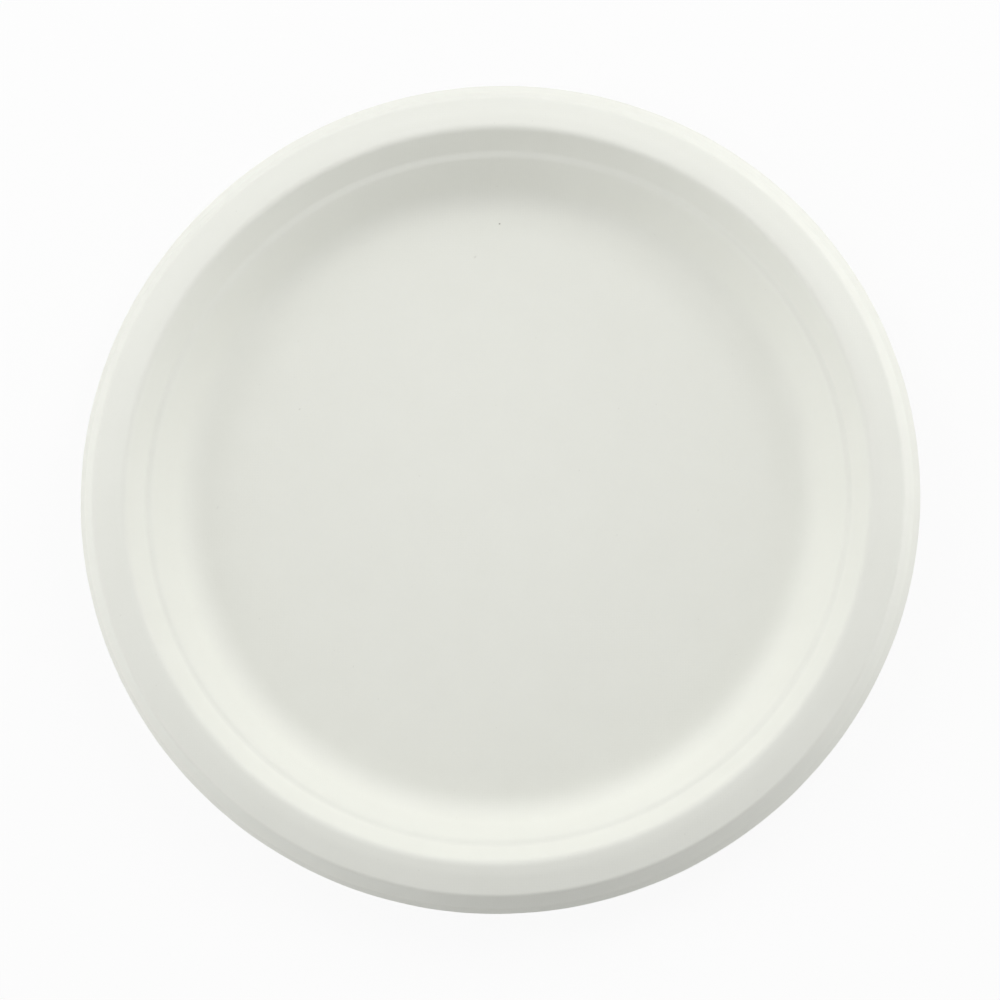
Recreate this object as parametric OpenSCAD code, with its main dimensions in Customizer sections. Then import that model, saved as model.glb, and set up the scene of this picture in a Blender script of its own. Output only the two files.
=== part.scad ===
// Round plate of moulded sugarcane fibre, one sheet of even thickness.
// From the middle outwards its section is a level floor, a sloping side with a narrow, soft
// stacking ledge, a rim that falls a little outwards, a turned-down skirt and a sloping lip.
// The origin is on the plate's axis, at the table that the floor rests on.

/* [Plate] */
// Diameter over the lip
plate_d = 230; // [170:1:300]
// Height from the table to the top of the rim
plate_h = 20; // [15:0.5:32]
// Thickness of the moulded sheet
sheet_t = 0.6; // [0.4:0.05:1]

/* [Floor and side] */
// Slope of the side, in degrees from level
side_slope = 53.5; // [40:0.5:65]
// Bend between the floor and the side, radius on its inside
floor_bend_r = 10; // [4:0.2:16]

/* [Stacking ledge] */
// Depth of the ledge below the top of the rim
ledge_drop = 6.5; // [4:0.1:9]
// Width of the ledge's tread
ledge_w = 1.7; // [0.6:0.05:3]
// Slope of the tread, in degrees from level
ledge_slope = 30; // [0:1:35]
// Share of the tread that the bends at its two edges take up
ledge_soft = 0.8; // [0:0.05:1]

/* [Rim] */
// Width of the rim, from the corner of the side to the corner of the skirt
rim_w = 9.05; // [6:0.05:20]
// Fall of the rim towards its outside, in degrees from level
rim_slope = 10; // [0:1:15]
// Bend between the side and the rim, radius on its inside
mouth_bend_r = 2.4; // [0.5:0.1:4]

/* [Skirt and lip] */
// Height of the skirt below the rim
skirt_h = 5.5; // [3:0.1:8]
// Slope of the skirt, in degrees from level
skirt_slope = 64; // [45:1:80]
// Bend between the rim and the skirt, radius on its inside
shoulder_bend_r = 1.2; // [0.3:0.1:2.5]
// Width of the lip that the trimmed edge ends in
lip_w = 1.8; // [0.8:0.1:4]
// Fall of the lip towards the trimmed edge, in degrees from level
lip_slope = 42; // [0:1:44]
// Bend between the skirt and the lip, radius on its inside
lip_bend_r = 0.5; // [0:0.1:1]

/* [Hidden] */

// Largest turn between two neighbouring points of a bend, in degrees
bend_step = 7;
// Facets around the plate, where it is drawn as a mesh
round_facets = 240;
fibre_colour = [0.84, 0.85, 0.79];

function direction(from, to) = (to - from) / norm(to - from);
function heading(along) = atan2(along[1], along[0]);
function place(corner) = [corner[0], corner[1]];

// Way from the food side straight through the sheet, where a run leads from one corner to
// the next
function through(from, to) =
    let (along = direction(place(from), place(to)))
    [along[1], -along[0]];

// Bend on a corner of an outward path: centre, first and last radial angle, and radius
// on the food side. The sheet's two sides share its centre.
function bend(before, corner, after) =
    let (
        along = direction(place(before), place(corner)),
        turn = heading(direction(place(corner), place(after))) - heading(along),
        side = sign(turn),
        tangent = corner[2] * tan(abs(turn) / 2),
        to_centre = side * [-along[1], along[0]],
        centre = place(corner) - tangent * along + corner[2] * to_centre,
        first = heading(-to_centre)
    )
    [centre, first, first + turn, corner[2], side];

// Points of one bend at a depth below the food side
function bend_points(b, depth) =
    let (steps = ceil(abs(b[2] - b[1]) / bend_step), r = b[3] + b[4] * depth)
    [for (i = [0:steps])
        let (a = b[1] + (b[2] - b[1]) * i / steps)
        b[0] + r * [cos(a), sin(a)]];

// One side of the sheet, from the axis to the trimmed edge, which is cut square to the lip
function sheet_side(corners, depth) =
    let (last = len(corners) - 1)
    concat(
        [place(corners[0]) + depth * through(corners[0], corners[1])],
        [for (i = [1:last - 1])
            each bend_points(bend(corners[i - 1], corners[i], corners[i + 1]), depth)],
        [place(corners[last]) + depth * through(corners[last - 1], corners[last])]
    );

function reversed(points) = [for (i = [len(points) - 1:-1:0]) points[i]];

// A bend that is hollow on the food side has its inside there, and a raised one below
function hollow(r) = r;
function raised(r) = r + sheet_t;

// Corner between side and rim, set so that the top of its bend is at plate_h
mouth_top_r = raised(mouth_bend_r);
mouth_rise = mouth_top_r
    * (tan((side_slope + rim_slope) / 2) * sin(side_slope) + cos(side_slope) - 1);
mouth_z = plate_h + mouth_rise;

// Radii of the other corners, from the lip inwards
crease_r = plate_d / 2 - lip_w;
shoulder_r = crease_r - skirt_h / tan(skirt_slope);
mouth_r = shoulder_r - rim_w;
ledge_out_z = plate_h - ledge_drop;
ledge_out_r = mouth_r - (mouth_z - ledge_out_z) / tan(side_slope);
ledge_in_z = ledge_out_z - ledge_w * tan(ledge_slope);
ledge_in_r = ledge_out_r - ledge_w;
floor_r = ledge_in_r - (ledge_in_z - sheet_t) / tan(side_slope);

// Inside radius that both of the ledge's bends have when the tread runs from one straight
// into the other, and the radius that they are given
ledge_full_r = (ledge_w / cos(ledge_slope) / tan((side_slope - ledge_slope) / 2) - sheet_t) / 2;
ledge_bend_r = ledge_soft * ledge_full_r;

// Heights of the corners outside the mouth
shoulder_z = mouth_z - rim_w * tan(rim_slope);
crease_z = shoulder_z - skirt_h;
lip_z = crease_z - lip_w * tan(lip_slope);

// Corners of the food side: radius from the axis, height, and radius of the bend there
corners = [
    [0, sheet_t, 0],
    [floor_r, sheet_t, hollow(floor_bend_r)],
    [ledge_in_r, ledge_in_z, raised(ledge_bend_r)],
    [ledge_out_r, ledge_out_z, hollow(ledge_bend_r)],
    [mouth_r, mouth_z, mouth_top_r],
    [shoulder_r, shoulder_z, raised(shoulder_bend_r)],
    [crease_r, crease_z, hollow(lip_bend_r)],
    [plate_d / 2, lip_z, 0]
];

// The whole plate, turned from the section of its sheet
module plate() {
    color(fibre_colour)
    rotate_extrude($fn = round_facets)
    polygon(concat(sheet_side(corners, 0), reversed(sheet_side(corners, sheet_t))));
}

plate();
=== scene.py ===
"""A round plate of moulded sugarcane fibre, seen nearly from above on a white studio floor."""
import math

import bpy
import numpy as np
from mathutils import Matrix, Vector


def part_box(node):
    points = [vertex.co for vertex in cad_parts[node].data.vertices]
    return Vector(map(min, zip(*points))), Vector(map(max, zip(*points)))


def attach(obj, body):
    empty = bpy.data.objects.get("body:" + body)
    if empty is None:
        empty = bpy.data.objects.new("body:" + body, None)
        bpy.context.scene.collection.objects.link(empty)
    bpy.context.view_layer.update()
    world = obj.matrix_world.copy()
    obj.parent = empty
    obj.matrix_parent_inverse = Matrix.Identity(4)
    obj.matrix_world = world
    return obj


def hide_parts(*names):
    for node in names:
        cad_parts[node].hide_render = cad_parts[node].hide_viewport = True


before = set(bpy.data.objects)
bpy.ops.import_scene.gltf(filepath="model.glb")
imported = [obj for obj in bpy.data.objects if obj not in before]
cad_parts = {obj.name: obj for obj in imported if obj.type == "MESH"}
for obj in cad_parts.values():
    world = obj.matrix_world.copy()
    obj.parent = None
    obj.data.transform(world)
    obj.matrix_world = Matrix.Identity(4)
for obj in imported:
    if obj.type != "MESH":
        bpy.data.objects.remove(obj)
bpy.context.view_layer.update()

bl_info = {
    "name": "Moulded Fibre Plate",
    "version": (1, 0, 0),
    "blender": (4, 5, 0),
    "location": "View3D > Sidebar > Plate",
    "description": "Builds a moulded sugarcane fibre plate and the studio it is seen in",
    "category": "Add Mesh",
}

NODE_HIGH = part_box("plate")[1]
MM = 0.001

# Facets around the plate, and the longest steps of its section on the floor and elsewhere
AROUND = 384
FLOOR_STEP = 5 * MM
WALL_STEP = 1.2 * MM
# Points of a bend of the section, of the bend whose top is measured, and of a corner of the
# trimmed edge
BEND_POINTS = 13
FINE_BEND_POINTS = 500
EDGE_POINTS = 4
# Lobes of the warp around the plate: how many, share of the warp, and where they start
WARP_LOBES = ((2, 0.7, 0.6), (3, 0.3, -1.1))
# Lobes of the trimmed edge: how many, share of the trim shift, and where they start
TRIM_LOBES = ((1, 1.0, -1.22), (2, 0.3, 3.1))
# Lobes of the edge's small raggedness
RAGGED_LOBES = ((23, 0.5, 0.9), (41, 0.3, 2.2), (67, 0.2, 4.1))

# Size of the grains of the fibre's clouds, of its fine grain and of its slow unevenness
CLOUD_SIZE = 13 * MM
GRAIN_SIZE = 0.22 * MM
UNEVEN_SIZE = 5 * MM
# Share of clouds, grain and strands in how pale the fibre is
CLOUD_SHARE = 0.6
GRAIN_SHARE = 0.2
STRAND_SHARE = 0.2
# Directions of the strands in degrees, and half the span of noise that a strand shows in
STRAND_TURNS = (12, 71, 133)
STRAND_SPAN = 0.05
# Height in mm of the strands, of the unevenness, of the grain, and of the grain that the
# trimmed edge has more
STRAND_HEIGHT = 0.004
UNEVEN_HEIGHT = 0.02
GRAIN_HEIGHT = 0.004
EDGE_GRAIN_HEIGHT = 0.03
# Roughness of dense and of pale fibre, and what the underside has more
DENSE_ROUGHNESS = 0.74
PALE_ROUGHNESS = 0.64
UNDER_ROUGHNESS = 0.08
# Faint flecks: their largest reach and their soft edge as a share of the spacing, how dark
# they are, and the shift in metres between the patterns of the two sides
FAINT_REACH = 0.026
FAINT_EDGE = 0.012
FAINT_DARK = 0.07
FAINT_SHIFT = (0.31, 0.17, 0)

# Flecks on the floor's food side: place in mm, half length and half width in mm, turn in
# degrees, and how dark
FLECKS = (
    (-0.03, 78.87, 0.32, 0.26, 10, 0.62),
    (-6.84, 69.44, 0.62, 0.34, 46, 0.11),
    (-55.53, 26.73, 0.40, 0.28, 41, 0.14),
    (-40.12, -45.46, 0.42, 0.26, 91, 0.07),
    (-78.05, -0.77, 0.70, 0.30, 62, 0.06),
)

# Width of the studio's floor, and its gap to the plate, so that their faces don't coincide
FLOOR_WIDTH = 60
FLOOR_GAP = 0.05 * MM
# Grey and roughness of the floor, and how much of what the camera sees of it is its own glow
FLOOR_GREY = 0.8
FLOOR_ROUGHNESS = 0.9
FLOOR_GLOW = 0.93
# Width of the camera's sensor in mm
SENSOR_WIDTH = 36

# Lamps of the studio: name, bearing from +X and height over the floor in degrees, distance
# from the plate and side of the square in metres, and power in watts
LAMPS = (
    ("key_right_lamp", 45, 45, 0.9, 0.45, 2.54),
    ("key_left_lamp", 135, 45, 0.9, 0.45, 1.49),
    ("high_left_lamp", 180, 45, 0.9, 0.45, 1.3),
    ("high_back_lamp", 90, 45, 0.9, 0.45, 0.59),
    ("right_lamp", 0, 22, 0.9, 0.45, 0.85),
    ("back_right_lamp", 45, 22, 1.9, 0.9, 6.14),
    ("back_left_lamp", 135, 22, 1.9, 0.9, 4.98),
    ("left_lamp", 180, 22, 1.9, 0.9, 4.85),
    ("front_lamp", 270, 22, 1.9, 0.9, 3.82),
    ("front_right_lamp", 315, 22, 1.9, 0.9, 2.76),
    ("front_left_lamp", 225, 22, 1.9, 0.9, 2.28),
    ("low_right_lamp", 0, 8, 1.9, 0.5, 5.71),
    ("low_left_lamp", 180, 8, 1.9, 0.5, 1.91),
    ("low_front_lamp", 225, 8, 1.9, 0.5, 2.47),
)


class PlateSizes(bpy.types.PropertyGroup):
    """Sizes of the plate's sheet, from its middle outwards."""

    diameter: bpy.props.FloatProperty(
        name="Diameter", description="Diameter over the lip",
        default=2 * NODE_HIGH.x, subtype="DISTANCE", unit="LENGTH", precision=5)
    height: bpy.props.FloatProperty(
        name="Height", description="Height from the table to the top of the rim",
        default=NODE_HIGH.z, subtype="DISTANCE", unit="LENGTH", precision=5)
    sheet: bpy.props.FloatProperty(
        name="Sheet", description="Thickness of the moulded sheet",
        default=0.6 * MM, subtype="DISTANCE", unit="LENGTH", precision=5)
    side_slope: bpy.props.FloatProperty(
        name="Side slope", description="Slope of the side from level",
        default=math.radians(53.5), subtype="ANGLE", unit="ROTATION")
    floor_bend: bpy.props.FloatProperty(
        name="Floor bend", description="Mean radius of the bend between floor and side",
        default=13 * MM, subtype="DISTANCE", unit="LENGTH", precision=5)
    ledge_drop: bpy.props.FloatProperty(
        name="Ledge drop", description="Depth of the stacking ledge below the top of the rim",
        default=6.5 * MM, subtype="DISTANCE", unit="LENGTH", precision=5)
    ledge_width: bpy.props.FloatProperty(
        name="Ledge width", description="Width of the ledge's tread",
        default=1.7 * MM, subtype="DISTANCE", unit="LENGTH", precision=5)
    ledge_slope: bpy.props.FloatProperty(
        name="Ledge slope", description="Slope of the tread from level",
        default=math.radians(30), subtype="ANGLE", unit="ROTATION")
    ledge_edge: bpy.props.FloatProperty(
        name="Ledge edge", description="Mean radius of the bend at the tread's inner edge",
        default=4.6 * MM, subtype="DISTANCE", unit="LENGTH", precision=5)
    ledge_foot: bpy.props.FloatProperty(
        name="Ledge foot", description="Mean radius of the bend at the tread's outer edge",
        default=3.5 * MM, subtype="DISTANCE", unit="LENGTH", precision=5)
    rim_width: bpy.props.FloatProperty(
        name="Rim width", description="Width from the corner of the side to that of the skirt",
        default=9.15 * MM, subtype="DISTANCE", unit="LENGTH", precision=5)
    rim_slope: bpy.props.FloatProperty(
        name="Rim slope", description="Fall of the rim outside its crown, from level",
        default=math.radians(12.5), subtype="ANGLE", unit="ROTATION")
    rim_crown: bpy.props.FloatProperty(
        name="Rim crown", description="Turn of the slight bend along the inner half of the rim",
        default=math.radians(7), subtype="ANGLE", unit="ROTATION")
    crown_place: bpy.props.FloatProperty(
        name="Crown place", description="Width of the rim from the mouth's corner to its crown",
        default=3.6 * MM, subtype="DISTANCE", unit="LENGTH", precision=5)
    crown_bend: bpy.props.FloatProperty(
        name="Crown bend", description="Mean radius of the crown",
        default=25 * MM, subtype="DISTANCE", unit="LENGTH", precision=5)
    mouth_bend: bpy.props.FloatProperty(
        name="Mouth bend", description="Mean radius of the bend between side and rim",
        default=3.3 * MM, subtype="DISTANCE", unit="LENGTH", precision=5)
    skirt_height: bpy.props.FloatProperty(
        name="Skirt height", description="Height of the turned-down skirt",
        default=5.5 * MM, subtype="DISTANCE", unit="LENGTH", precision=5)
    skirt_slope: bpy.props.FloatProperty(
        name="Skirt slope", description="Slope of the skirt from level",
        default=math.radians(64), subtype="ANGLE", unit="ROTATION")
    shoulder_bend: bpy.props.FloatProperty(
        name="Shoulder bend", description="Mean radius of the bend between rim and skirt",
        default=2.0 * MM, subtype="DISTANCE", unit="LENGTH", precision=5)
    lip_width: bpy.props.FloatProperty(
        name="Lip width", description="Width of the lip that the trimmed edge ends in",
        default=1.8 * MM, subtype="DISTANCE", unit="LENGTH", precision=5)
    lip_slope: bpy.props.FloatProperty(
        name="Lip slope", description="Fall of the lip towards the trimmed edge",
        default=math.radians(45), subtype="ANGLE", unit="ROTATION")
    lip_bend: bpy.props.FloatProperty(
        name="Lip bend", description="Mean radius of the bend between skirt and lip",
        default=1.2 * MM, subtype="DISTANCE", unit="LENGTH", precision=5)
    edge_round: bpy.props.FloatProperty(
        name="Edge rounding", description="Radius of the trimmed edge's two corners",
        default=0.12 * MM, subtype="DISTANCE", unit="LENGTH", precision=5)
    warp: bpy.props.FloatProperty(
        name="Warp", description="Height by which the rim rises and falls around the plate",
        default=0.12 * MM, subtype="DISTANCE", unit="LENGTH", precision=5)
    trim_shift: bpy.props.FloatProperty(
        name="Trim shift", description="Distance by which the trimming die was off centre",
        default=0.8 * MM, subtype="DISTANCE", unit="LENGTH", precision=5)
    ragged: bpy.props.FloatProperty(
        name="Ragged edge", description="Depth of the trimmed edge's small unevenness",
        default=0.04 * MM, subtype="DISTANCE", unit="LENGTH", precision=5)


class FibreFinish(bpy.types.PropertyGroup):
    """Colours and surface of the moulded fibre."""

    fibre_colour: bpy.props.FloatVectorProperty(
        name="Fibre", description="Colour of the pressed fibre where it is palest",
        default=(0.88, 0.888, 0.828), subtype="COLOR", size=3, min=0, max=1)
    dense_colour: bpy.props.FloatVectorProperty(
        name="Dense fibre", description="Colour where the fibre lies thicker",
        default=(0.85, 0.858, 0.794), subtype="COLOR", size=3, min=0, max=1)
    fleck_colour: bpy.props.FloatVectorProperty(
        name="Flecks", description="Colour of the flecks of unbleached cane",
        default=(0.13, 0.10, 0.06), subtype="COLOR", size=3, min=0, max=1)
    fleck_spacing: bpy.props.FloatProperty(
        name="Fleck spacing", description="Mean distance between the faint flecks",
        default=11 * MM, subtype="DISTANCE", unit="LENGTH", precision=5)
    strand_length: bpy.props.FloatProperty(
        name="Strand length", description="Length of the fibre strands that show",
        default=2.6 * MM, subtype="DISTANCE", unit="LENGTH", precision=5)
    strand_width: bpy.props.FloatProperty(
        name="Strand width", description="Width of the fibre strands that show",
        default=0.28 * MM, subtype="DISTANCE", unit="LENGTH", precision=5)
    mesh_pitch: bpy.props.FloatProperty(
        name="Mesh pitch", description="Wire spacing of the forming mesh whose imprint shows",
        default=0.75 * MM, subtype="DISTANCE", unit="LENGTH", precision=5)
    mesh_depth: bpy.props.FloatProperty(
        name="Mesh depth, food side", description="Depth of the mesh imprint on the food side",
        default=0.003 * MM, subtype="DISTANCE", unit="LENGTH", precision=6)
    mesh_depth_under: bpy.props.FloatProperty(
        name="Mesh depth, underside", description="Depth of the mesh imprint on the underside",
        default=0.02 * MM, subtype="DISTANCE", unit="LENGTH", precision=6)


class StudioSettings(bpy.types.PropertyGroup):
    """The camera's place and the studio's light."""

    camera_distance: bpy.props.FloatProperty(
        name="Camera distance", description="Distance from the camera to its aim",
        default=1.2, subtype="DISTANCE", unit="LENGTH")
    camera_tilt: bpy.props.FloatProperty(
        name="Camera tilt", description="Angle between the line of sight and the plate's axis",
        default=math.radians(11.1), subtype="ANGLE", unit="ROTATION")
    camera_bearing: bpy.props.FloatProperty(
        name="Camera bearing", description="Direction that the camera leans to, from the row's +X",
        default=math.radians(-73.9), subtype="ANGLE", unit="ROTATION")
    aim_height: bpy.props.FloatProperty(
        name="Aim height", description="Height on the plate's axis that the camera aims beside",
        default=13.18 * MM, subtype="DISTANCE", unit="LENGTH", precision=5)
    aim_right: bpy.props.FloatProperty(
        name="Aim right", description="How far right of the plate's axis the camera aims",
        default=0.78 * MM, subtype="DISTANCE", unit="LENGTH", precision=5)
    aim_down: bpy.props.FloatProperty(
        name="Aim down", description="How far below the plate's axis the camera aims",
        default=1.78 * MM, subtype="DISTANCE", unit="LENGTH", precision=5)
    lens: bpy.props.FloatProperty(
        name="Lens", description="Focal length", default=158.5, subtype="DISTANCE_CAMERA")
    lamp_level: bpy.props.FloatProperty(
        name="Lamp level", description="Factor on the power of all the lamps", default=1.0)
    room_light: bpy.props.FloatProperty(
        name="Room light", description="Strength of the light from the white room",
        default=0.05)


def eased_bend(before, corner, after, radius, count=BEND_POINTS):
    """Points of the bend that rounds one corner of the outward path, each with the direction
    that the food side faces there. The turn grows along the bend as 3 u squared less 2 u
    cubed, so it starts and ends softly; its length is the mean radius times the whole turn.
    It starts where both runs are equally far from the corner."""
    along = (corner - before) / np.linalg.norm(corner - before)
    leaving = (after - corner) / np.linalg.norm(after - corner)
    turn = math.atan2(along[0] * leaving[1] - along[1] * leaving[0], float(along @ leaving))
    share = np.linspace(0, 1, count)
    heading = math.atan2(along[1], along[0]) + turn * share ** 2 * (3 - 2 * share)
    ray = np.stack([np.cos(heading), np.sin(heading)], axis=1)
    step = radius * abs(turn) / (count - 1)
    offset = np.vstack([[0, 0], np.cumsum((ray[1:] + ray[:-1]) / 2 * step, axis=0)])
    reach = np.linalg.norm(offset[-1]) / (2 * math.cos(turn / 2))
    facing = np.stack([-ray[:, 1], ray[:, 0]], axis=1)
    return np.hstack([corner - reach * along + offset, facing])


def sheet_path(sizes):
    """Corners of the food side, from the axis to the trimmed edge, and the mean radius of
    each bend there. They are worked out from the lip inwards, with the mouth's corner raised
    so that the top of its bend is at the plate's height."""
    side = sizes.side_slope
    rim_in = sizes.rim_slope - sizes.rim_crown
    mouth = eased_bend(
        np.array([-math.cos(side), -math.sin(side)]), np.zeros(2),
        np.array([math.cos(rim_in), -math.sin(rim_in)]), sizes.mouth_bend, FINE_BEND_POINTS)
    mouth_z = sizes.height - mouth[:, 1].max()
    outer_r = sizes.diameter / 2
    crease_r = outer_r - sizes.lip_width
    shoulder_r = crease_r - sizes.skirt_height / math.tan(sizes.skirt_slope)
    mouth_r = shoulder_r - sizes.rim_width
    crown_r = mouth_r + sizes.crown_place
    crown_z = mouth_z - sizes.crown_place * math.tan(rim_in)
    shoulder_z = crown_z - (shoulder_r - crown_r) * math.tan(sizes.rim_slope)
    crease_z = shoulder_z - sizes.skirt_height
    outer_z = crease_z - sizes.lip_width * math.tan(sizes.lip_slope)
    foot_z = sizes.height - sizes.ledge_drop
    foot_r = mouth_r - (mouth_z - foot_z) / math.tan(side)
    tread_r = foot_r - sizes.ledge_width
    tread_z = foot_z - sizes.ledge_width * math.tan(sizes.ledge_slope)
    floor_r = tread_r - (tread_z - sizes.sheet) / math.tan(side)
    corners = np.array([
        (0, sizes.sheet), (floor_r, sizes.sheet), (tread_r, tread_z), (foot_r, foot_z),
        (mouth_r, mouth_z), (crown_r, crown_z), (shoulder_r, shoulder_z),
        (crease_r, crease_z), (outer_r, outer_z)])
    radii = [
        sizes.floor_bend, sizes.ledge_edge, sizes.ledge_foot, sizes.mouth_bend,
        sizes.crown_bend, sizes.shoulder_bend, sizes.lip_bend]
    return corners, radii


def evened(points, floor_edge):
    """The same open path with every run cut into equal steps, long ones on the level floor
    and short ones outside its edge. Each row carries its further values along."""
    runs = np.diff(points, axis=0)
    on_floor = np.maximum(points[1:, 0], points[:-1, 0]) <= floor_edge
    longest = np.where(on_floor, FLOOR_STEP, WALL_STEP)
    steps = np.maximum(1, np.ceil(np.linalg.norm(runs[:, :2], axis=1) / longest).astype(int))
    start = np.repeat(points[:-1], steps, axis=0)
    run = np.repeat(runs / steps[:, None], steps, axis=0)
    place = np.arange(steps.sum()) - np.repeat(np.cumsum(steps) - steps, steps)
    return np.vstack([start + run * place[:, None], points[-1:]])


def distance_along(path):
    """Distance from the first point of a path to each of its points, along the path."""
    return np.r_[0, np.cumsum(np.linalg.norm(np.diff(path[:, :2], axis=0), axis=1))]


def sheet_section(sizes):
    """The sheet's section as one path: out along the food side, round the trimmed edge and
    back along the underside, which is one sheet away square to the food side. Each row holds
    radius and height, and the direction that the surface faces there. With the path come
    each point's distance from the axis along its side of the sheet, its side as 0 for the
    food side, 1 for the underside and half of that at the trimmed edge, and as last value 1
    at the trimmed edge and 0 elsewhere."""
    corners, radii = sheet_path(sizes)
    top = np.vstack([[*corners[0], 0, 1], *(
        eased_bend(before, corner, after, radius)
        for before, corner, after, radius in zip(corners, corners[1:], corners[2:], radii))])
    under = np.hstack([top[:, :2] - sizes.sheet * top[:, 2:], -top[:, 2:]])
    r = sizes.edge_round
    up = top[-1, 2:]
    out = np.array([up[1], -up[0]])
    quarter = np.linspace(0, math.pi / 2, EDGE_POINTS)[:, None]
    ray = np.sin(quarter) * out + np.cos(quarter) * up
    under_ray = np.cos(quarter) * out - np.sin(quarter) * up
    upper = np.hstack([corners[-1] - r * out - r * up + r * ray, ray])
    lower = np.hstack([corners[-1] - r * out - (sizes.sheet - r) * up + r * under_ray, under_ray])
    # Just outside the floor's edge, so that rounding doesn't leave the floor's run out
    floor_edge = top[1, 0] + FLOOR_STEP / 100
    food = evened(np.vstack([top, upper[:1]]), floor_edge)
    back = evened(np.vstack([under, lower[-1:]]), floor_edge)
    edge = np.vstack([upper[1:], lower[:-1]])
    path = np.vstack([food, edge, back[::-1]])
    food_s, back_s = distance_along(food), distance_along(back)
    edge_s = food_s[-1] + distance_along(np.vstack([food[-1:], edge]))[1:]
    along = np.r_[food_s, edge_s, back_s[::-1]]
    side = np.r_[np.zeros(len(food)), np.full(len(edge), 0.5), np.ones(len(back))]
    cut = np.r_[np.zeros(len(food)), np.ones(len(edge)), np.zeros(len(back))]
    return path, along, side, cut


def lobes(angle, waves):
    """Sum of cosines of whole turns round the plate, each with its share and its start."""
    return sum(share * np.cos(count * angle + start) for count, share, start in waves)


def plate_mesh(sizes):
    """Surface of revolution on a grid of section points by angles. Radius and height come
    from the section. The height is raised by lobes that grow with the square of the distance
    from the floor's edge to the lip. The lip reaches out along its slope as far as the
    off-centre trimming die and the cut's small unevenness let it. The unrolled map puts each
    point at its distance along the sheet from the axis, in the direction of its angle."""
    path, along, side, cut = sheet_section(sizes)
    corners, _ = sheet_path(sizes)
    floor_r, crease_r, outer_r = corners[1, 0], corners[-2, 0], corners[-1, 0]
    radius, height = path[1:-1, 0:1], path[1:-1, 1:2]
    angle = np.linspace(0, 2 * math.pi, AROUND, endpoint=False)[None, :]
    rise = np.clip((radius - floor_r) / (outer_r - floor_r), 0, 1) ** 2
    lift = sizes.warp * lobes(angle, WARP_LOBES)
    on_lip = np.clip((radius - crease_r) / (outer_r - crease_r), 0, 1)
    trim = sizes.trim_shift * lobes(angle, TRIM_LOBES) + sizes.ragged * lobes(angle, RAGGED_LOBES)
    reach = radius + on_lip * trim
    level = height + rise * lift - on_lip * trim * math.tan(sizes.lip_slope)
    points = np.stack([reach * np.cos(angle), reach * np.sin(angle), level], axis=-1)
    poles = np.array([[0, 0, path[0, 1]], [0, 0, path[-1, 1]]])
    points = np.vstack([points.reshape(-1, 3), poles])

    rings = radius.size
    ring = np.arange(rings - 1)[:, None] * AROUND
    step = np.arange(AROUND)
    after = (step + 1) % AROUND
    quads = np.stack(
        [ring + step, ring + AROUND + step, ring + AROUND + after, ring + after], axis=-1)
    top_pole, under_pole = len(points) - 2, len(points) - 1
    last = (rings - 1) * AROUND
    top_fan = np.stack([np.full(AROUND, top_pole), step, after], axis=-1)
    under_fan = np.stack([np.full(AROUND, under_pole), last + after, last + step], axis=-1)
    mesh = bpy.data.meshes.new("moulded_plate")
    mesh.from_pydata(
        points.tolist(), [],
        quads.reshape(-1, 4).tolist() + top_fan.tolist() + under_fan.tolist())
    mesh.shade_smooth()
    facing_out, facing_up = path[1:-1, 2:3], path[1:-1, 3:4]
    facing = np.stack(
        [facing_out * np.cos(angle), facing_out * np.sin(angle),
         facing_up * np.ones_like(angle)], axis=-1)
    facing = np.vstack([facing.reshape(-1, 3), [[0, 0, 1], [0, 0, -1]]])
    mesh.normals_split_custom_set_from_vertices(facing)

    for name, values in (("underside", side), ("cut_edge", cut)):
        spread = np.append(np.repeat(values[1:-1], AROUND), (values[0], values[-1]))
        mesh.attributes.new(name, "FLOAT", "POINT").data.foreach_set("value", spread)
    unrolled = along[1:-1, None, None] * np.stack([np.cos(angle), np.sin(angle)], axis=-1)
    unrolled = np.vstack([unrolled.reshape(-1, 2), np.zeros((2, 2))])
    corner_point = np.empty(len(mesh.loops), dtype=np.int32)
    mesh.loops.foreach_get("vertex_index", corner_point)
    mesh.uv_layers.new(name="unrolled").uv.foreach_set("vector", unrolled[corner_point].ravel())
    mesh.update()
    return mesh


def add_node(tree, kind, settings=None, **inputs):
    """A new node with its settings and inputs; an input is a value, or a socket to link."""
    node = tree.nodes.new(kind)
    for name, value in (settings or {}).items():
        setattr(node, name, value)
    for name, value in inputs.items():
        feed(tree, node.inputs[name.replace("_", " ")], value)
    return node


def feed(tree, socket, value):
    """Links a socket to another one, or gives it a value."""
    if isinstance(value, bpy.types.NodeSocket):
        tree.links.new(value, socket)
    else:
        socket.default_value = value


def calc(tree, operation, *values):
    """Result of one arithmetic step on values or sockets."""
    node = tree.nodes.new("ShaderNodeMath")
    node.operation = operation
    for socket, value in zip(node.inputs, values):
        feed(tree, socket, value)
    return node.outputs[0]


def graded(tree, value, low, high, at_low, at_high):
    """A value carried from one range to another, and held at its ends."""
    return add_node(
        tree, "ShaderNodeMapRange", Value=value, From_Min=low, From_Max=high,
        To_Min=at_low, To_Max=at_high).outputs[0]


def noise(tree, place, size, detail):
    """Even noise from 0 to 1 whose grains have the given size."""
    return add_node(
        tree, "ShaderNodeTexNoise", Vector=place, Scale=1 / size, Detail=detail).outputs[0]


def blend(tree, share, first, second):
    """Colour between two colours. The mix node's inputs 0, 6 and 7 are its share and its two
    colours, and its output 2 is the colour."""
    node = tree.nodes.new("ShaderNodeMix")
    node.data_type = "RGBA"
    for index, value in ((0, share), (6, first), (7, second)):
        feed(tree, node.inputs[index], value)
    return node.outputs[2]


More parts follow.
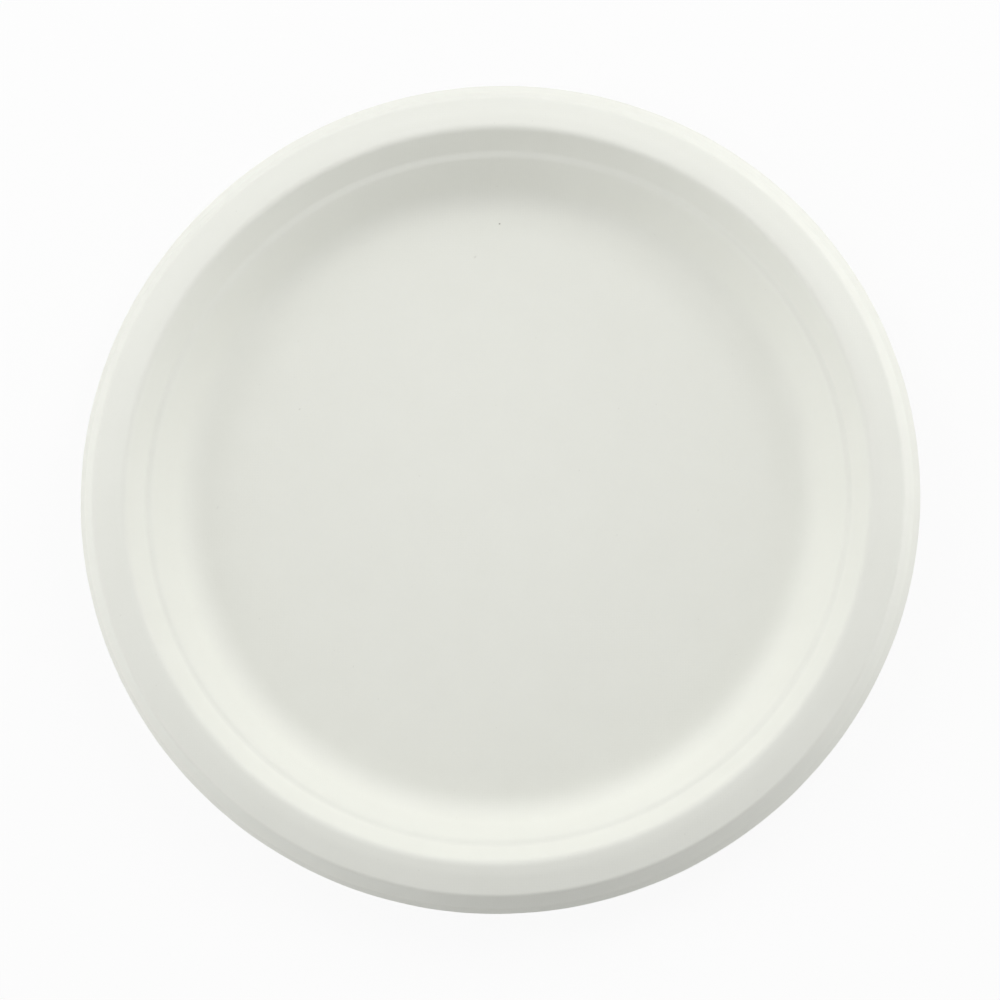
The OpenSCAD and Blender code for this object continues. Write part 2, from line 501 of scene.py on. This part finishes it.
def strands(tree, place, finish):
    """Fibres: noise drawn out to the strand's length and width in three directions. Each
    gives a line where it crosses its middle value, and the strongest line counts."""
    shape = (finish.strand_length, finish.strand_width, finish.strand_width)
    strongest = 0.0
    for degrees in STRAND_TURNS:
        drawn = add_node(
            tree, "ShaderNodeMapping", {"vector_type": "TEXTURE"}, Vector=place,
            Rotation=(0, 0, math.radians(degrees)), Scale=shape).outputs[0]
        value = noise(tree, drawn, 1.0, 1.0)
        off_middle = calc(tree, "ABSOLUTE", calc(tree, "SUBTRACT", value, 0.5))
        line = graded(tree, off_middle, 0.0, STRAND_SPAN, 1.0, 0.0)
        strongest = calc(tree, "MAXIMUM", strongest, line)
    return strongest


def mesh_imprint(tree, unrolled, finish):
    """Imprint of the square forming mesh, from -1 to 1: the mean of a cosine along each of
    the unrolled sheet's two directions."""
    across = add_node(tree, "ShaderNodeSeparateXYZ", Vector=unrolled)
    waves = [
        calc(tree, "COSINE", calc(tree, "MULTIPLY", axis, 2 * math.pi / finish.mesh_pitch))
        for axis in across.outputs[:2]]
    return calc(tree, "MULTIPLY", calc(tree, "ADD", *waves), 0.5)


def faint_flecks(tree, unrolled, underside, finish):
    """Random flecks: one in each cell of a plane pattern on the unrolled sheet, as wide as
    the square of the cell's random value allows. The underside's pattern is shifted."""
    shift = add_node(
        tree, "ShaderNodeVectorMath", {"operation": "SCALE"}, Scale=underside).outputs[0]
    shift.node.inputs[0].default_value = FAINT_SHIFT
    moved = add_node(tree, "ShaderNodeVectorMath", {"operation": "ADD"}).outputs[0]
    feed(tree, moved.node.inputs[0], unrolled)
    feed(tree, moved.node.inputs[1], shift)
    cells = add_node(
        tree, "ShaderNodeTexVoronoi", {"voronoi_dimensions": "2D"}, Vector=moved,
        Scale=1 / finish.fleck_spacing)
    chance = add_node(
        tree, "ShaderNodeSeparateColor", Color=cells.outputs["Color"]).outputs[0]
    reach = calc(tree, "MULTIPLY", calc(tree, "POWER", chance, 2.0), FAINT_REACH)
    depth = calc(tree, "SUBTRACT", reach, cells.outputs["Distance"])
    return graded(tree, depth, 0.0, FAINT_EDGE, 0.0, 1.0)


def placed_fleck(tree, place, sizes, fleck):
    """One fleck on the floor's food side: full inside half of its oval, none outside it."""
    x, y, half_length, half_width, turn, dark = fleck
    near = add_node(
        tree, "ShaderNodeMapping", {"vector_type": "TEXTURE"}, Vector=place,
        Location=(x * MM, y * MM, sizes.sheet), Rotation=(0, 0, math.radians(turn)),
        Scale=(half_length * MM, half_width * MM, sizes.sheet / 2)).outputs[0]
    far = add_node(tree, "ShaderNodeVectorMath", {"operation": "LENGTH"}, Vector=near)
    return graded(tree, far.outputs["Value"], 0.5, 1.0, dark, 0.0)


def fibre_material(name, sizes, finish):
    """Pressed sugarcane fibre. Colour goes from dense to pale with cloudy formation, strands
    and grain, and flecks lie on it. Height adds up strands, grain, slow unevenness and the
    mesh imprint, which is deeper on the underside. The cut edge is rougher."""
    material = bpy.data.materials.new(name)
    material.use_nodes = True
    tree = material.node_tree
    shader = tree.nodes["Principled BSDF"]
    place = add_node(tree, "ShaderNodeTexCoord").outputs["Object"]
    unrolled = add_node(tree, "ShaderNodeUVMap", {"uv_map": "unrolled"}).outputs[0]
    underside, cut_edge = (
        add_node(tree, "ShaderNodeAttribute", {"attribute_name": wanted}).outputs["Fac"]
        for wanted in ("underside", "cut_edge"))

    clouds = noise(tree, place, CLOUD_SIZE, 3.0)
    grain = noise(tree, place, GRAIN_SIZE, 2.0)
    uneven = noise(tree, place, UNEVEN_SIZE, 1.0)
    lines = strands(tree, place, finish)
    grain_tone = calc(tree, "MULTIPLY", grain, GRAIN_SHARE)
    tone = calc(tree, "MULTIPLY_ADD", clouds, CLOUD_SHARE, grain_tone)
    tone = calc(tree, "MULTIPLY_ADD", lines, STRAND_SHARE, tone)

    faint = faint_flecks(tree, unrolled, underside, finish)
    fleck = calc(tree, "MULTIPLY", faint, FAINT_DARK)
    for one in FLECKS:
        fleck = calc(tree, "MAXIMUM", fleck, placed_fleck(tree, place, sizes, one))
    fibre = blend(tree, tone, (*finish.dense_colour, 1), (*finish.fibre_colour, 1))
    feed(tree, shader.inputs["Base Color"],
         blend(tree, fleck, fibre, (*finish.fleck_colour, 1)))

    matt = graded(tree, tone, 0.2, 0.8, DENSE_ROUGHNESS, PALE_ROUGHNESS)
    rough_back = calc(tree, "MULTIPLY_ADD", underside, UNDER_ROUGHNESS, matt)
    feed(tree, shader.inputs["Roughness"], rough_back)

    # Heights in millimetres
    depth = graded(
        tree, underside, 0.0, 1.0, finish.mesh_depth / MM, finish.mesh_depth_under / MM)
    height = calc(tree, "MULTIPLY", mesh_imprint(tree, unrolled, finish), depth)
    height = calc(tree, "MULTIPLY_ADD", lines, STRAND_HEIGHT, height)
    height = calc(tree, "MULTIPLY_ADD", uneven, UNEVEN_HEIGHT, height)
    grain_height = calc(tree, "MULTIPLY_ADD", cut_edge, EDGE_GRAIN_HEIGHT, GRAIN_HEIGHT)
    height = calc(tree, "MULTIPLY_ADD", grain, grain_height, height)
    bump = add_node(tree, "ShaderNodeBump", Distance=MM, Height=height)
    feed(tree, shader.inputs["Normal"], bump.outputs[0])
    return material


class PLATE_OT_plate(bpy.types.Operator):
    """Make the moulded plate"""

    bl_idname = "plate.make_plate"
    bl_label = "Moulded plate"

    def execute(self, context):
        sizes = context.scene.plate_sizes
        plate = bpy.data.objects.new("moulded_plate", plate_mesh(sizes))
        context.scene.collection.objects.link(plate)
        plate.data.materials.append(
            fibre_material("moulded_fibre", sizes, context.scene.plate_finish))
        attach(plate, "root")
        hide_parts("plate")
        return {"FINISHED"}


def area_lamp(name, place, aim, size, power):
    """A square soft lamp at a place, turned to a point."""
    lamp = bpy.data.lights.new(name, "AREA")
    lamp.shape = "SQUARE"
    lamp.size = size
    lamp.energy = power
    holder = bpy.data.objects.new(name, lamp)
    holder.location = place
    holder.rotation_euler = (Vector(aim) - Vector(place)).to_track_quat("-Z", "Y").to_euler()
    bpy.context.scene.collection.objects.link(holder)


def studio_lamps(studio):
    """Soft lamps round the plate, each on a ray from its middle at a bearing and a height."""
    for name, bearing, height, distance, size, power in LAMPS:
        turn, lift = math.radians(bearing), math.radians(height)
        ray = Vector((
            math.cos(lift) * math.cos(turn), math.cos(lift) * math.sin(turn), math.sin(lift)))
        area_lamp(name, distance * ray, (0, 0, 0), size, power * studio.lamp_level)


def studio_world(strength):
    """White room: light of the given strength, and plain white where the camera sees it."""
    world = bpy.data.worlds.new("white_room")
    bpy.context.scene.world = world
    world.use_nodes = True
    tree = world.node_tree
    rays = add_node(tree, "ShaderNodeLightPath").outputs
    seen = calc(tree, "MAXIMUM", rays["Is Camera Ray"], rays["Is Glossy Ray"])
    background = tree.nodes["Background"]
    background.inputs["Color"].default_value = (1, 1, 1, 1)
    feed(tree, background.inputs["Strength"], graded(tree, seen, 0.0, 1.0, strength, 1.0))


def floor_material():
    """White floor that the camera sees mostly by its own light, and that still takes the
    plate's shadow."""
    material = bpy.data.materials.new("studio_floor")
    material.use_nodes = True
    tree = material.node_tree
    shader = tree.nodes["Principled BSDF"]
    shader.inputs["Base Color"].default_value = (FLOOR_GREY, FLOOR_GREY, FLOOR_GREY, 1)
    shader.inputs["Roughness"].default_value = FLOOR_ROUGHNESS
    glow = add_node(tree, "ShaderNodeEmission", Color=(1, 1, 1, 1), Strength=1.0)
    rays = add_node(tree, "ShaderNodeLightPath").outputs
    mix = tree.nodes.new("ShaderNodeMixShader")
    feed(tree, mix.inputs[0], calc(tree, "MULTIPLY", rays["Is Camera Ray"], FLOOR_GLOW))
    feed(tree, mix.inputs[1], shader.outputs[0])
    feed(tree, mix.inputs[2], glow.outputs[0])
    feed(tree, tree.nodes["Material Output"].inputs["Surface"], mix.outputs[0])
    return material


def studio_floor():
    """Level floor just under the plate, wide enough to fill every view."""
    half, level = FLOOR_WIDTH / 2, -FLOOR_GAP
    corners = [
        (-half, -half, level), (half, -half, level), (half, half, level), (-half, half, level)]
    mesh = bpy.data.meshes.new("studio_floor")
    mesh.from_pydata(corners, [], [(0, 1, 2, 3)])
    mesh.materials.append(floor_material())
    floor = bpy.data.objects.new("studio_floor", mesh)
    bpy.context.scene.collection.objects.link(floor)


def photo_camera(studio):
    """Camera that leans from the plate's axis by the tilt, with the row's +Y up in its frame.
    It aims beside the axis, on the side that it leans to, because perspective draws the near
    half of the lip larger."""
    tilt, bearing = studio.camera_tilt, studio.camera_bearing
    back = Vector((
        math.sin(tilt) * math.cos(bearing), math.sin(tilt) * math.sin(bearing), math.cos(tilt)))
    right = Vector((0, 1, 0)).cross(back).normalized()
    up = back.cross(right)
    aim = Vector((0, 0, studio.aim_height)) + studio.aim_right * right - studio.aim_down * up
    lens = bpy.data.cameras.new("camera")
    lens.lens = studio.lens
    lens.sensor_width = SENSOR_WIDTH
    camera = bpy.data.objects.new("camera", lens)
    turn = Matrix((right, up, back)).transposed().to_4x4()
    camera.matrix_world = Matrix.Translation(aim + back * studio.camera_distance) @ turn
    bpy.context.scene.collection.objects.link(camera)
    bpy.context.scene.camera = camera


class PLATE_OT_stage(bpy.types.Operator):
    """Make the floor, the lamps, the room light and the camera"""

    bl_idname = "plate.make_stage"
    bl_label = "Studio"

    def execute(self, context):
        studio = context.scene.plate_studio
        context.scene.view_settings.view_transform = "Standard"
        studio_world(studio.room_light)
        studio_floor()
        studio_lamps(studio)
        photo_camera(studio)
        return {"FINISHED"}


class PLATE_PT_sidebar(bpy.types.Panel):
    """Lists the plate's sizes, its finish, the studio's settings and the steps that build them."""

    bl_label = "Moulded plate"
    bl_idname = "PLATE_PT_sidebar"
    bl_space_type = "VIEW_3D"
    bl_region_type = "UI"
    bl_category = "Plate"

    def draw(self, context):
        scene = context.scene
        for group in (scene.plate_sizes, scene.plate_finish, scene.plate_studio):
            column = self.layout.column()
            for value in group.bl_rna.properties.keys():
                if value not in ("rna_type", "name"):
                    column.prop(group, value)
        for operator in (PLATE_OT_plate, PLATE_OT_stage):
            self.layout.operator(operator.bl_idname)


CLASSES = (
    PlateSizes, FibreFinish, StudioSettings, PLATE_OT_plate, PLATE_OT_stage, PLATE_PT_sidebar)


def register():
    for cls in CLASSES:
        bpy.utils.register_class(cls)
    bpy.types.Scene.plate_sizes = bpy.props.PointerProperty(type=PlateSizes)
    bpy.types.Scene.plate_finish = bpy.props.PointerProperty(type=FibreFinish)
    bpy.types.Scene.plate_studio = bpy.props.PointerProperty(type=StudioSettings)


def unregister():
    del bpy.types.Scene.plate_studio
    del bpy.types.Scene.plate_finish
    del bpy.types.Scene.plate_sizes
    for cls in reversed(CLASSES):
        bpy.utils.unregister_class(cls)


def main():
    register()
    bpy.ops.plate.make_stage()
    bpy.ops.plate.make_plate()


if __name__ == "__main__":
    main()
